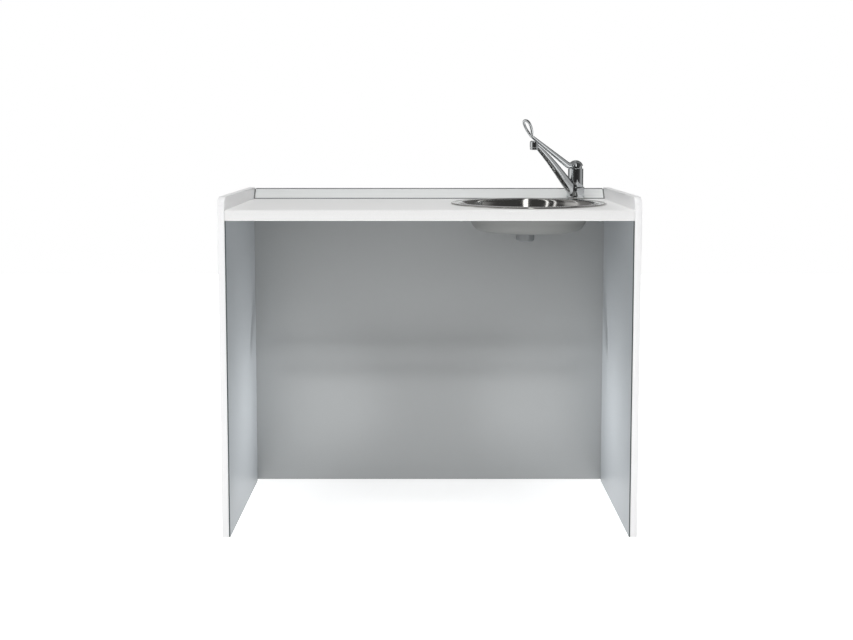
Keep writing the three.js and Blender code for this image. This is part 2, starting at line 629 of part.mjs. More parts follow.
// A hood over the cartridge cover, an arm that tapers to the bend, a stem down to the pin, and
// the loop.
function mixerLever() {
  const { pivot, body } = TAP;
  const ball = (radius, segments) => {
    const sphere = new THREE.SphereGeometry(radius, segments, segments / 2).rotateX(Math.PI / 2);
    return solid(sphere).translate([0, 0, pivot]);
  };
  const [bendR, bendZ] = LEVER.bend;
  const curve = new THREE.LineCurve3(vec(8, 0, pivot - 5), vec(bendR + 2, 0, bendZ + 1.2));
  const arm = ovalBar(curve, (t) => [8 - 2 * t, 10.5 - 5.5 * t], 9, 12);
  const seam = [0, LEVER.seam, 0];
  const below = box(-60, 60, -60, 60, -60, LEVER.seamLift).rotate(seam).translate([0, 0, pivot]);
  const outer = ball(body, 20).add(arm).subtract(below).add(arm.subtract(rod(body + 1.5, 0, 300)));
  const shell = outer.subtract(ball(LEVER.cavity, 16));
  const eye = lyingY(rod(4, -4, 4, 12), 0, 0, pivot);
  const stem = eye.add(box(-4, 4, -4, 4, pivot, pivot + LEVER.cavity + 1)).subtract(pinHole());
  return shell.add(stem).add(leverLoop());
}
put(leverArm, "mixer_lever", mixerLever(), chrome);

export default station;
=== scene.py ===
# %% [markdown]
# # A kneehole handwash station
# The real unit is a worktop carried by two side boards, with a round steel bowl let into it and a
# lever mixer behind the bowl. The engineering model fixes every size. Here each visible piece gets
# its fine surface and its finish.

# %% Load the frame
import json
import math

import bmesh
import bpy
import numpy as np
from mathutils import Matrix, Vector


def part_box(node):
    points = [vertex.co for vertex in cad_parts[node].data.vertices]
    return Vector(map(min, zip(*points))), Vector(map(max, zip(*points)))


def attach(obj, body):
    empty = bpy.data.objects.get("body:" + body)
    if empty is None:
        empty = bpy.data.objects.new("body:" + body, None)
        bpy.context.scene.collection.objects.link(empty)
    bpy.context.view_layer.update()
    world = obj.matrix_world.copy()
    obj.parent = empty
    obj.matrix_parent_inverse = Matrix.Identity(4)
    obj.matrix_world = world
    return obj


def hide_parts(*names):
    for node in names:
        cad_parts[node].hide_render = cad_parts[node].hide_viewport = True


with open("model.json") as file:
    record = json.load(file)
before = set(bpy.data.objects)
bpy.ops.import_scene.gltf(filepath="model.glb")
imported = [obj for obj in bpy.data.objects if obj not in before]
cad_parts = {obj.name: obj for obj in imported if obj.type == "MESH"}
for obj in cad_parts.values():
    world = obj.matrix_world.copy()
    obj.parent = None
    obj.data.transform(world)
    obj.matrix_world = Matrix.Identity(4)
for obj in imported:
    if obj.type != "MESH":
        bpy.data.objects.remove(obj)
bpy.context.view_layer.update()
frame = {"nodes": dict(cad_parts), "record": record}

MM = 0.001

# %% [markdown]
# ## Where things are
# A fitter measures from a few edges: the worktop's surface, the middle of the bowl, and the tap's
# own axis. We read the same places from the frame, so nothing is typed twice.

# %% Places read from the frame
low_of = lambda node: np.array(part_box(node)[0])
high_of = lambda node: np.array(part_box(node)[1])
middle_of = lambda node: (low_of(node) + high_of(node)) / 2

joints = {j["name"]: j for j in frame["record"]["behaviour"]["joints"]}
TOP = high_of("worktop")[2]
BOWL = np.array([*middle_of("sink_bowl")[:2], TOP])
TAP = np.array([*joints["spout_swivel"]["pos_m"][:2], TOP])
PIVOT = (joints["lever_lift"]["pos_m"][2] - TOP) / MM  # millimetres above the worktop
WASTE = np.array([*middle_of("waste_flange")[:2], TOP])
lift = np.array(joints["lever_lift"]["axis"])
REACH = np.array([-lift[1], lift[0], 0.0])  # the way the spout and the lever point
SIDE = np.array([-REACH[1], REACH[0], 0.0])  # level, and square to it
UP = np.array([0.0, 0.0, 1.0])
X_AXIS = np.array([1.0, 0.0, 0.0])
Y_AXIS = np.array([0.0, 1.0, 0.0])
print("worktop", round(TOP, 4), "tap", TAP.round(4), "bowl", BOWL.round(4))

# %% [markdown]
# ## The camera
# A unit like this is shot from a little above the worktop, with a longish lens from three metres
# away, so that the boards don't splay. The camera could be tipped until the unit sits in the
# middle, but then upright edges would lean. It is tipped only a little, and the lens is shifted
# for the rest, as on a view camera.

# %% Camera
EYE = (-0.0081, -2.9914, 1.0594)
TIPPED_DOWN = 4.52  # degrees
camera = bpy.data.objects.new("camera", bpy.data.cameras.new("camera"))
bpy.context.scene.collection.objects.link(camera)
bpy.context.scene.camera = camera
camera.location = EYE
camera.rotation_euler = (math.radians(90 - TIPPED_DOWN), 0, 0)
camera.data.sensor_width = 36
camera.data.lens = 45.42
camera.data.shift_y = -0.12
bpy.context.scene.view_settings.view_transform = "Standard"
print("camera", EYE, "lens", round(camera.data.lens, 2))

# %% [markdown]
# ## The floor, a card and a flag
# The unit stands on a plain pale floor. It glows a little, and more with distance, so that it fades
# into the white beyond it without a line. A glossy panel is only as dark as what it mirrors, so a
# dark card lies in front of the unit, and a narrow flag holds a band of light off the back panel.
# The camera sees neither of them. One four-cornered face is enough for each of the three.

# %% Floor, card and flag


def stage_plane(name, corners, colour):
    """Four corners joined by one face, in a plain matt colour."""
    mesh = bpy.data.meshes.new(name)
    mesh.from_pydata(corners, [], [(0, 1, 2, 3)])
    plane = bpy.data.objects.new(name, mesh)
    bpy.context.scene.collection.objects.link(plane)
    paint = bpy.data.materials.new(name)
    paint.use_nodes = True
    shader = paint.node_tree.nodes["Principled BSDF"]
    shader.inputs["Base Color"].default_value = (colour, colour, colour, 1)
    shader.inputs["Roughness"].default_value = 0.9
    shader.inputs["Specular IOR Level"].default_value = 0.1
    shader.inputs["Emission Color"].default_value = (1, 1, 1, 1)
    mesh.materials.append(paint)
    return plane


def level(half_width, front, rear, height):
    """The corners of a sheet that lies level."""
    return [(-half_width, front, height), (half_width, front, height),
            (half_width, rear, height), (-half_width, rear, height)]


def upright(half_width, depth, foot, top):
    """The corners of a sheet that stands across the unit."""
    return [(-half_width, depth, foot), (half_width, depth, foot),
            (half_width, depth, top), (-half_width, depth, top)]


floor = stage_plane("floor", level(5, -5, 5, 0), 0.8)
card = stage_plane("dark_card", level(1.4, -2.5, -1.75, 0.01), 0.02)
card.visible_camera = card.visible_diffuse = card.visible_shadow = False
flag = stage_plane("flag", upright(0.45, 0.1, 0.37, 0.425), 0.02)
flag.visible_camera = flag.visible_glossy = False

# %% The floor's glow
NEAR, FAR = 0.3, 1.5  # metres from the middle of the floor
tree = floor.active_material.node_tree
glow = tree.nodes.new("ShaderNodeMapRange")
glow.inputs["From Min"].default_value, glow.inputs["From Max"].default_value = NEAR, FAR
glow.inputs["To Min"].default_value, glow.inputs["To Max"].default_value = 0.6, 1.1
away = tree.nodes.new("ShaderNodeVectorMath")
away.operation = "LENGTH"
tree.links.new(tree.nodes.new("ShaderNodeTexCoord").outputs["Object"], away.inputs[0])
tree.links.new(away.outputs["Value"], glow.inputs["Value"])
tree.links.new(glow.outputs["Result"], tree.nodes["Principled BSDF"].inputs["Emission Strength"])
print("floor glows from", NEAR, "to", FAR, "m")

# %% [markdown]
# ## Lamps
# Two broad soft boxes, one overhead and one behind the camera, give light with no hard edge. Two
# small lamps by the floor lift the linings near their feet, as light off a bright floor does. A
# lamp seen in chrome would be a plain white square, so polished pieces don't see them at all.

# %% Lamps


def soft_lamp(name, place, aim, size, power):
    """A rectangular lamp at place, turned so that its face looks at aim."""
    lamp = bpy.data.objects.new(name, bpy.data.lights.new(name, "AREA"))
    bpy.context.scene.collection.objects.link(lamp)
    lamp.data.shape = "RECTANGLE"
    lamp.data.size, lamp.data.size_y = size
    lamp.data.energy = power
    lamp.location = place
    lamp.rotation_euler = (Vector(aim) - Vector(place)).to_track_quat("-Z", "Y").to_euler()
    lamp.visible_camera = lamp.visible_glossy = False
    print(name, power, "W")
    return lamp


soft_lamp("top_lamp", (0.1, -0.3, 3.1), (0, 0, 0.8), (2.2, 1.4), 39)
soft_lamp("front_lamp", (-0.5, -3.7, 1.9), (0, 0, 0.5), (2.6, 1.6), 40)
for word, hand in (("left", -1), ("right", 1)):
    bounce = soft_lamp(f"{word}_bounce", (-0.2 * hand, -0.06, 0.02), (hand, 0.1, 0.38),
                       (0.1, 0.3), 1.2)
    bounce.data.spread = math.radians(60)

# %% [markdown]
# ## The room that the chrome mirrors
# Polished metal looks like the room around it, and an even room makes it look like plastic. So the
# world is a dim room, with walls of unequal grey low down and bright windows higher up. Each ring
# is a list of stops round the horizon, mixed by height. The camera itself sees plain white instead.

# %% Helpers for the room
world = bpy.data.worlds.new("studio")
bpy.context.scene.world = world
world.use_nodes = True
wires = world.node_tree.links.new
room_node = world.node_tree.nodes.new


def ring(source, stops):
    """Brightness round the horizon, from 0 to 1 for a whole round, straight between stops."""
    ramp = room_node("ShaderNodeValToRGB")
    stop = ramp.color_ramp.elements
    (first, first_light), (last, last_light) = stops[0], stops[-1]
    stop[0].position, stop[0].color = first, (*[first_light] * 3, 1)
    stop[1].position, stop[1].color = last, (*[last_light] * 3, 1)
    for place, light in stops[1:-1]:
        stop.new(place).color = (light, light, light, 1)
    wires(source, ramp.inputs["Fac"])
    return ramp.outputs["Color"]


# %% Walls and windows
# Left is at 0, front at 0.25, right at 0.5 and rear at 0.75.
WALLS = [(0, 0.9), (0.07, 0.75), (0.1, 0.1), (0.2, 0.03), (0.33, 0.04), (0.4, 0.08), (0.45, 0.4),
         (0.52, 0.5), (0.57, 0.12), (0.68, 0.15), (0.75, 0.4), (0.83, 0.2), (0.92, 0.25),
         (0.96, 0.9), (1, 0.9)]
WINDOWS = [(0, 0.3), (0.02, 0.3), (0.03, 0.07), (0.077, 0.07), (0.08, 1.6), (0.087, 1.6),
           (0.09, 0.06), (0.122, 0.06), (0.125, 2.0), (0.132, 2.0), (0.136, 0.06),
           (0.236, 0.05), (0.24, 3.0), (0.258, 3.0), (0.262, 0.05), (0.45, 0.07),
           (0.532, 0.1), (0.535, 1.6), (0.542, 1.6), (0.545, 0.1), (0.7, 0.2), (0.75, 0.5),
           (0.8, 0.2), (0.938, 0.2), (0.941, 1.2), (0.948, 1.2), (0.951, 0.2), (1, 0.3)]
direction = room_node("ShaderNodeTexCoord").outputs["Generated"]
turn = room_node("ShaderNodeTexGradient")
turn.gradient_type = "RADIAL"
wires(direction, turn.inputs["Vector"])
split = room_node("ShaderNodeSeparateXYZ")
wires(direction, split.inputs[0])
above = room_node("ShaderNodeMapRange")
above.inputs["From Min"].default_value, above.inputs["From Max"].default_value = 0.3, 0.45
wires(split.outputs["Z"], above.inputs["Value"])
room = room_node("ShaderNodeMix")
room.data_type = "RGBA"
wires(above.outputs["Result"], room.inputs["Factor"])
wires(ring(turn.outputs["Fac"], WALLS), room.inputs["A"])
wires(ring(turn.outputs["Fac"], WINDOWS), room.inputs["B"])
print("room", len(WALLS), "wall stops", len(WINDOWS), "window stops")

# %% White for the camera
seen = room_node("ShaderNodeMix")
seen.data_type = "RGBA"
seen.inputs["B"].default_value = (1, 1, 1, 1)
wires(room_node("ShaderNodeLightPath").outputs["Is Camera Ray"], seen.inputs["Factor"])
wires(room.outputs["Result"], seen.inputs["A"])
background = world.node_tree.nodes["Background"]
wires(seen.outputs["Result"], background.inputs["Color"])
background.inputs["Strength"].default_value = 1.0
print("world", world.name)

# %% [markdown]
# ## Surfaces from grids
# A turned tap or a pressed bowl is one outline taken round an axis; a rail is one section taken
# along a line. Both are grids of points, so one small set of helpers makes nearly every piece.

# %% Grid, lathe and rail


def grid_faces(rows, columns, close_rows, close_columns):
    """Four-sided faces that join each point of a grid to the next one in its row and its column."""
    row, column = np.meshgrid(np.arange(rows if close_rows else rows - 1),
                              np.arange(columns if close_columns else columns - 1), indexing="ij")
    next_row, next_column = (row + 1) % rows, (column + 1) % columns
    faces = [row * columns + column, row * columns + next_column,
             next_row * columns + next_column, next_row * columns + column]
    return np.stack(faces, -1).reshape(-1, 4).tolist()


def softened(outline, radius, steps=5):
    """A closed outline whose corners become small curves. Each corner is the middle handle of a
    curve that starts and ends radius away along its two sides, or nearly halfway if a side is
    short. A corner on the axis of a turned piece stays sharp."""
    corner = np.asarray(outline, float)
    to_last, to_next = np.roll(corner, 1, 0) - corner, np.roll(corner, -1, 0) - corner
    last_length = np.linalg.norm(to_last, axis=1, keepdims=True)
    next_length = np.linalg.norm(to_next, axis=1, keepdims=True)
    cut = np.where(corner[:, :1] < 1e-9, 0, radius) if corner[:, 0].min() >= 0 else radius
    start = corner + to_last * np.minimum(cut / np.maximum(last_length, 1e-9), 0.48)
    end = corner + to_next * np.minimum(cut / np.maximum(next_length, 1e-9), 0.48)
    t = np.linspace(0, 1, steps)[None, :, None]
    rounded = ((1 - t) ** 2 * start[:, None] + 2 * t * (1 - t) * corner[:, None]
               + t ** 2 * end[:, None])
    return rounded.reshape(-1, 2)


def turned(outline, steps=96):
    """Each point of the outline, a radius and a height, goes round a circle of its own radius."""
    radius, height = np.asarray(outline, float).T
    angle = np.linspace(0, 2 * np.pi, steps, endpoint=False)
    points = np.stack([np.outer(radius, np.cos(angle)), np.outer(radius, np.sin(angle)),
                       np.repeat(height[:, None], steps, 1)], -1)
    return points.reshape(-1, 3), grid_faces(len(radius), steps, True, True)


def carried(path, side, rise, section):
    """A closed section taken along a path. Each of its points is a distance along side and one
    along rise, measured from the path's own point, and both ends are closed flat."""
    section = np.broadcast_to(section, (len(path), *np.shape(section)[-2:]))
    side, rise = np.broadcast_to(side, path.shape), np.broadcast_to(rise, path.shape)
    across, up = section[..., :1] * side[:, None], section[..., 1:] * rise[:, None]
    points = path[:, None] + across + up
    rows, columns = section.shape[:2]
    ends = [list(range(columns)), list(range((rows - 1) * columns, rows * columns))]
    return points.reshape(-1, 3), grid_faces(rows, columns, False, True) + ends


def moved(shell, place, axes=(X_AXIS, Y_AXIS, UP)):
    """A shell drawn in millimetres along three axes of its own, put at a place in metres."""
    return shell[0] * MM @ np.array(axes) + place, shell[1]


LYING = (X_AXIS, -UP, Y_AXIS)  # a turned piece whose axis runs to the rear
ARM = (REACH, SIDE, UP)  # a piece drawn along the lever's own direction
print("a ring of 96 steps has", len(grid_faces(2, 96, False, True)), "faces")

# %% [markdown]
# ## From points to a piece
# Where an outline meets its own axis, or its own start, points fall on one another. They are welded
# and the faces are turned outwards, so that every piece is a closed skin like the real one. Holes
# are cut by taking a cutter's shape away, and a casting is made by adding closed shapes together.
# Blender's exact boolean does both: it keeps each surface as it was drawn, right up to the joint.

# %% Weld


def skin(name, shells):
    """One mesh from several shells, with doubled points welded and all faces turned outwards."""
    points, faces, start = [], [], 0
    for shell_points, shell_faces in shells:
        points.append(shell_points)
        faces += [[index + start for index in face] for face in shell_faces]
        start += len(shell_points)
    mesh = bpy.data.meshes.new(name)
    mesh.from_pydata(np.concatenate(points).tolist(), [], faces)
    work = bmesh.new()
    work.from_mesh(mesh)
    bmesh.ops.remove_doubles(work, verts=work.verts, dist=2e-6)
    bmesh.ops.delete(work, geom=[e for e in work.edges if not e.link_faces], context="EDGES")
    bmesh.ops.recalc_face_normals(work, faces=work.faces)
    work.to_mesh(mesh)
    work.free()
    thing = bpy.data.objects.new(name, mesh)
    bpy.context.scene.collection.objects.link(thing)
    return thing


# %% Cut and fuse


def settle(thing):
    """The modifiers' result becomes the mesh itself."""
    bpy.context.view_layer.update()
    graph = bpy.context.evaluated_depsgraph_get()
    mesh = bpy.data.meshes.new_from_object(thing.evaluated_get(graph))
    thing.modifiers.clear()
    thing.data = mesh
    return thing


def cut(thing, cutters):
    """Takes the cutters' shells out of a piece."""
    tool = skin("cutter", cutters)
    step = thing.modifiers.new("cut", "BOOLEAN")
    step.operation, step.object, step.solver = "DIFFERENCE", tool, "EXACT"
    settle(thing)
    bpy.data.objects.remove(tool)
    return thing


def fused(name, shells):
    """Several closed shells become one casting: each is added to the ones before it, and what lies
    inside the whole is removed."""
    casting = skin(name, shells[:1])
    for shell in shells[1:]:
        extra = skin("extra", [shell])
        step = casting.modifiers.new("add", "BOOLEAN")
        step.operation, step.object, step.solver, step.use_self = "UNION", extra, "EXACT", True
        settle(casting)
        bpy.data.objects.remove(extra)
    return casting


# %% Finish a piece


def finished(thing, material, body, nodes, crease=32):
    """Gives a piece its finish, its body and the nodes that it stands for. Faces that meet at
    more than crease degrees keep a sharp edge between them."""
    thing.data.materials.clear()
    thing.data.materials.append(material)
    thing.data.polygons.foreach_set("use_smooth", np.ones(len(thing.data.polygons), bool))
    thing.data.set_sharp_from_angle(angle=math.radians(crease))
    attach(thing, body)
    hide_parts(*nodes)
    print(thing.name, "faces", len(thing.data.polygons))
    return thing


# %% [markdown]
# ## Finishes
# Real laminate, chrome and plastic are never one flat colour. Each finish mixes a slow cloud, a
# fine grain and a little unevenness in its gloss, all read from the piece's own coordinates, so the
# pattern stays put when the piece moves. A painted picture could do the same, but a pattern that is
# worked out has no seams and needs no file. One small class holds the few steps they share.

# %% Helpers for the finishes


class Finish:
    """A material with a few words for patterns that all read Object coordinates."""

    def __init__(self, name, colour, roughness, metallic=0.0):
        self.material = bpy.data.materials.new(name)
        self.material.use_nodes = True
        self.tree = self.material.node_tree
        self.shader = self.tree.nodes["Principled BSDF"]
        self.shader.inputs["Base Color"].default_value = (*colour, 1)
        self.shader.inputs["Roughness"].default_value = roughness
        self.shader.inputs["Metallic"].default_value = metallic
        self.colour = colour

    def join(self, source, target):
        """One step's result goes into another step."""
        self.tree.links.new(source, target)

    def node(self, kind, **values):
        """One more step in the material."""
        made = self.tree.nodes.new(kind)
        for key, value in values.items():
            setattr(made, key, value)
        return made

    def place(self, stretch=(1, 1, 1), centre=(0, 0, 0)):
        """Object coordinates, moved to a centre and stretched."""
        mapping = self.node("ShaderNodeMapping")
        mapping.inputs["Scale"].default_value = stretch
        mapping.inputs["Location"].default_value = [-c * s for c, s in zip(centre, stretch)]
        coordinates = self.node("ShaderNodeTexCoord")
        self.join(coordinates.outputs["Object"], mapping.inputs["Vector"])
        return mapping.outputs["Vector"]

    def noise(self, scale, detail=3.0, vector=None):
        """A cloudy pattern with about scale clouds to a metre."""
        made = self.node("ShaderNodeTexNoise")
        made.inputs["Scale"].default_value = scale
        made.inputs["Detail"].default_value = detail
        self.join(vector or self.place(), made.inputs["Vector"])
        return made.outputs["Fac"]

    def between(self, pattern, low, high):
        """Turns a pattern's middle range into values from low to high."""
        made = self.node("ShaderNodeMapRange")
        made.inputs["From Min"].default_value = 0.3
        made.inputs["From Max"].default_value = 0.7
        made.inputs["To Min"].default_value = low
        made.inputs["To Max"].default_value = high
        self.join(pattern, made.inputs["Value"])
        return made.outputs["Result"]

    def shade(self, pattern, darker, lighter):
        """The base colour drifts between two shares of itself."""
        mix = self.node("ShaderNodeMix", data_type="RGBA")
        mix.inputs["A"].default_value = (*[c * darker for c in self.colour], 1)
        mix.inputs["B"].default_value = (*[min(1, c * lighter) for c in self.colour], 1)
        self.join(self.between(pattern, 0, 1), mix.inputs["Factor"])
        self.join(mix.outputs["Result"], self.shader.inputs["Base Color"])

    def cover(self, share, other):
        """Where the share is one, the base colour gives way to another colour."""
        colour = self.shader.inputs["Base Color"]
        mix = self.node("ShaderNodeMix", data_type="RGBA")
        self.join(share, mix.inputs["Factor"])
        self.join(colour.links[0].from_socket, mix.inputs["A"])
        mix.inputs["B"].default_value = (*other, 1)
        self.join(mix.outputs["Result"], colour)

    def gloss(self, pattern, low, high):
        """The roughness drifts from low to high."""
        self.join(self.between(pattern, low, high), self.shader.inputs["Roughness"])

    def relief(self, pattern, depth, strength=1.0):
        """Raises the surface by up to depth metres."""
        made = self.node("ShaderNodeBump")
        made.inputs["Distance"].default_value = depth
        made.inputs["Strength"].default_value = strength
        self.join(pattern, made.inputs["Height"])
        self.join(made.outputs["Normal"], self.shader.inputs["Normal"])


# %% [markdown]
# ## Boards and sheet
# Laminate is printed paper under a clear resin, pressed against a plate with a very fine texture,
# so it has a soft gloss and a skin like orange peel. The grey back panel has a colour and a gloss
# of its own. The worktop's white is a darker copy of the boards' white, painted shade that makes
# its top read greyer. The linings are compact sheet in a lighter copy of the grey, painted light,
# and their front edge is coloured near black.

# %% Boards


def board_finish(name, colour, roughness, metallic=0.0):
    """Laminate: a slow cloud and a fine grain in the colour, and a skin like fine orange peel."""
    made = Finish(name, colour, roughness, metallic)
    made.shade(made.noise(420, 4), 0.97, 1.02)
    made.gloss(made.noise(300, 2), roughness - 0.02, roughness + 0.03)
    made.relief(made.noise(1500, 2), 0.00002, 0.3)
    return made


WHITE = board_finish("white_laminate", (0.92, 0.92, 0.925), 0.4).material
# The worktop's white is darker than the boards' white: painted shade that greys its top.
WORKTOP_SHADED_WHITE = board_finish("worktop_laminate_painted_shade", (0.80, 0.80, 0.795), 0.42).material
BAND_WHITE = board_finish("edge_band_white", (0.88, 0.88, 0.885), 0.35).material
GREY = board_finish("grey_laminate", (0.355, 0.366, 0.37), 0.3, 0.35).material
print("boards", [made.name for made in (WHITE, WORKTOP_SHADED_WHITE, BAND_WHITE, GREY)])

# %% Lining
DARK_EDGE_DEPTH = 0.4 * MM  # how far back from the front edge the lining is coloured near black


def lining_painted_light_finish():
    """Compact sheet: grey on its face, lighter than the back panel's grey as painted light, and
    coloured near black along its front edge.
    """
    # A lighter copy of the grey laminate: painted light, for the light that falls on the linings.
    made = board_finish("lining_sheet_painted_light", (0.40, 0.425, 0.445), 0.4, 0.1)
    split = made.node("ShaderNodeSeparateXYZ")
    made.join(made.place(), split.inputs[0])
    # The lining is coloured near black over its front edge.
    edge = made.node("ShaderNodeMath", operation="LESS_THAN")
    made.join(split.outputs["Y"], edge.inputs[0])
    edge.inputs[1].default_value = low_of("left_inner_lining")[1] + DARK_EDGE_DEPTH
    made.cover(edge.outputs["Value"], (0.07, 0.085, 0.085))
    return made.material


LINING_PAINTED_LIGHT = lining_painted_light_finish()
print("lining", LINING_PAINTED_LIGHT.name)

# %% [markdown]
# ## Metals
# Three workshops made the metal here. A drawn rail or tube has strokes along its length, and a spun
# bowl has rings about its middle, so their grain is stretched or read from a distance. Plated brass
# is polished until no grain is left, and only a film of dried water varies its gloss.

# %% Drawn and plated metal


def brushed_finish(name, colour, roughness, stretch, metallic=1.0):
    """Drawn or brushed metal: grain stretched along the stroke, in colour, gloss and relief."""
    made = Finish(name, colour, roughness, metallic)
    stroke = made.noise(1, 4, made.place(stretch))
    made.shade(stroke, 0.94, 1.04)
    made.gloss(stroke, roughness - 0.06, roughness + 0.08)
    made.relief(stroke, 0.00003, 0.4)
    return made.material


def polished_finish(name, colour, roughness):
    """Plated metal: mirror bright, with a slow film of water marks in its gloss."""
    made = Finish(name, colour, roughness, 1.0)
    made.gloss(made.noise(60, 4), roughness, roughness + 0.07)
    made.shade(made.noise(25, 2), 0.95, 1.03)
    return made.material


CHROME = polished_finish("chrome", (0.63, 0.65, 0.66), 0.03)
ANODISED = brushed_finish("anodised_profile", (0.74, 0.755, 0.75), 0.5, (5, 900, 900), 0.25)
ZINC = brushed_finish("zinc_steel", (0.56, 0.57, 0.58), 0.34, (300, 300, 900))
COPPER = brushed_finish("copper", (0.62, 0.33, 0.2), 0.3, (500, 60, 500))
print("metals", [made.name for made in (CHROME, ANODISED, ZINC, COPPER)])

# %% Spun steel with its coat


def spun_finish(name, colour, roughness):
    """Spun steel: rings about the bowl's middle, from a grain that reads only the distance there.
    Where a piece carries a coat attribute, a dull grey anti-drumming coat covers the steel."""
    made = Finish(name, colour, roughness, 1.0)
    distance = made.node("ShaderNodeVectorMath", operation="LENGTH")
    made.join(made.place((1, 1, 0), (BOWL[0], BOWL[1], 0)), distance.inputs[0])
    across = made.node("ShaderNodeCombineXYZ")
    made.join(distance.outputs["Value"], across.inputs["X"])
    rings = made.noise(1400, 3, across.outputs["Vector"])
    made.shade(made.noise(18, 3), 0.95, 1.03)
    made.relief(rings, 0.00001, 0.35)
    coat = made.node("ShaderNodeAttribute", attribute_name="coat").outputs["Fac"]
    gloss = made.node("ShaderNodeMix")
    made.join(coat, gloss.inputs["Factor"])
    made.join(made.between(rings, roughness - 0.03, roughness + 0.05), gloss.inputs["A"])
    made.join(made.between(made.noise(900, 3), 0.6, 0.75), gloss.inputs["B"])
    made.join(gloss.outputs["Result"], made.shader.inputs["Roughness"])
    bare = made.node("ShaderNodeMath", operation="SUBTRACT")
    bare.inputs[0].default_value = 1
    made.join(coat, bare.inputs[1])
    made.join(bare.outputs["Value"], made.shader.inputs["Metallic"])
    made.cover(coat, (0.2, 0.205, 0.2))
    return made.material


STAINLESS = spun_finish("stainless", (0.60, 0.595, 0.575), 0.09)
print("spun", STAINLESS.name)

# %% [markdown]
# ## Plastics and rubber
# A mould's walls are roughened by sparks, and that fine grain is what makes a moulded piece look
# satin. Rubber has the same grain with less gloss, so one finish serves both.

# %% Plastics and rubber


def moulded_finish(name, colour, roughness, grain=900):
    """Moulded plastic or rubber: a fine spark grain, with a slow cloud in its colour."""
    made = Finish(name, colour, roughness)
    made.shade(made.noise(30, 3), 0.92, 1.05)
    made.gloss(made.noise(140, 3), roughness - 0.06, roughness + 0.06)
    made.relief(made.noise(grain, 2), 0.00005, 0.5)
    return made.material


LIP = moulded_finish("dark_lip", (0.16, 0.17, 0.17), 0.55)
RUBBER = moulded_finish("rubber", (0.022, 0.023, 0.025), 0.7)
GREY_PLASTIC = moulded_finish("grey_plastic", (0.21, 0.22, 0.225), 0.5)
CREAM_PLASTIC = moulded_finish("cream_plastic", (0.76, 0.74, 0.69), 0.42)
FINISHES = {"white_laminate": WHITE, "grey_laminate": GREY, "anodised_profile": ANODISED,
            "dark_lip": LIP, "chrome": CHROME, "stainless": STAINLESS, "zinc_steel": ZINC,
            "copper": COPPER, "rubber": RUBBER, "grey_plastic": GREY_PLASTIC,
            "cream_plastic": CREAM_PLASTIC}
print("finishes", len(FINISHES))

# %% [markdown]
# ## The flat pieces
# The boards, linings and straps are already the right shape: flat sheet with square edges. They
# keep their own meshes, and only their finish changes.

# %% Dress the nodes that stay
for part in frame["record"]["subparts"]:
    for material_slot in frame["nodes"][part["node"]].material_slots:
        material_slot.material = FINISHES[part["material_slot"]]
# The linings get the lighter grey, which is painted light.
for word in ("left", "right"):
    frame["nodes"][f"{word}_inner_lining"].material_slots[0].material = LINING_PAINTED_LIGHT

# %% [markdown]
# ## Edge bands
# A laminated board shows its core at the edge, so a strip is glued round it and its arrises are
# eased by a scraper. The strip is one small section carried up the front, round the corner and
# back, which keeps its thickness even round the corner. A bent box would thin there.

# %% Edge bands


CORNER_RADIUS, STRIP, ARRIS = 28 * MM, 1.7 * MM, 1.5 * MM


def edge_band(word):
    """The path is a straight rise, a quarter circle and a straight run back; the section is a flat
    strip with eased outer arrises."""
    node = f"{word}_edge_band"
    low, high = low_of(node), high_of(node)
    turn = np.linspace(0, np.pi / 2, 25)
    corner = np.stack([low[1] + CORNER_RADIUS * (1 - np.cos(turn)),
                       high[2] - CORNER_RADIUS * (1 - np.sin(turn))], 1)
    line = np.vstack([[low[1], low[2]], corner, [high[1], high[2]]])
    outward = np.vstack([[-1, 0], np.stack([-np.cos(turn), np.sin(turn)], 1), [0, 1]])
    path = np.column_stack([np.full(len(line), middle_of(node)[0]), line])
    rise = np.column_stack([np.zeros(len(line)), outward])
    half = (high[0] - low[0]) / 2
    right = [[half, -STRIP], [half, -ARRIS], [half - ARRIS * 0.3, -ARRIS * 0.3], [half - ARRIS, 0]]
    left = [[-across, drop] for across, drop in reversed(right)]
    strip = skin(f"{word}_edge_strip", [carried(path, X_AXIS, rise, right + left)])
    finished(strip, BAND_WHITE, "root", [node])


for word in ("left", "right"):
    edge_band(word)

# %% [markdown]
# ## Worktop
# The top is a board with a rolled front edge, where the laminate is bent over the core with heat. A
# bevel on a box would round all its edges alike, so a section with its own radii is carried from
# side to side. Then the holes for the bowl and the tap are cut through, as a router does.

# %% Worktop


NOSE, EASE = 6 * MM, 0.8 * MM  # the rolled front edge, and the eased rear one


def quarter(centre, radius, start):
    """A quarter circle about a centre of depth and height, without its two end points."""
    turn = start + np.linspace(0, np.pi / 2, 9)[1:-1]
    return centre + radius * np.stack([np.cos(turn), np.sin(turn)], 1)


def worktop():
    """The section runs up the rear, forward along the top, round the nose and back underneath."""
    low, high = low_of("worktop"), high_of("worktop")
    (front, bottom), (rear, top) = low[1:], high[1:]
    upper = quarter([front + NOSE, top - NOSE], NOSE, np.pi / 2)
    lower = quarter([front + NOSE / 2, bottom + NOSE / 2], NOSE / 2, np.pi)
    outline = np.vstack([[rear, bottom], [rear, top - EASE], [rear - EASE, top],
                         [front + NOSE, top], upper, [front, top - NOSE],
                         [front, bottom + NOSE / 2], lower, [front + NOSE / 2, bottom]])
    ends = np.array([[low[0], 0, 0], [high[0], 0, 0]])
    board = skin("worktop_board", [carried(ends, Y_AXIS, UP, outline)])
    bowl_hole, tap_hole = (turned([[0, -40], [radius, -40], [radius, 10], [0, 10]])
                           for radius in (198, 17.5))
    cut(board, [moved(bowl_hole, BOWL), moved(tap_hole, TAP)])
    finished(board, WORKTOP_SHADED_WHITE, "root", ["worktop"])


worktop()

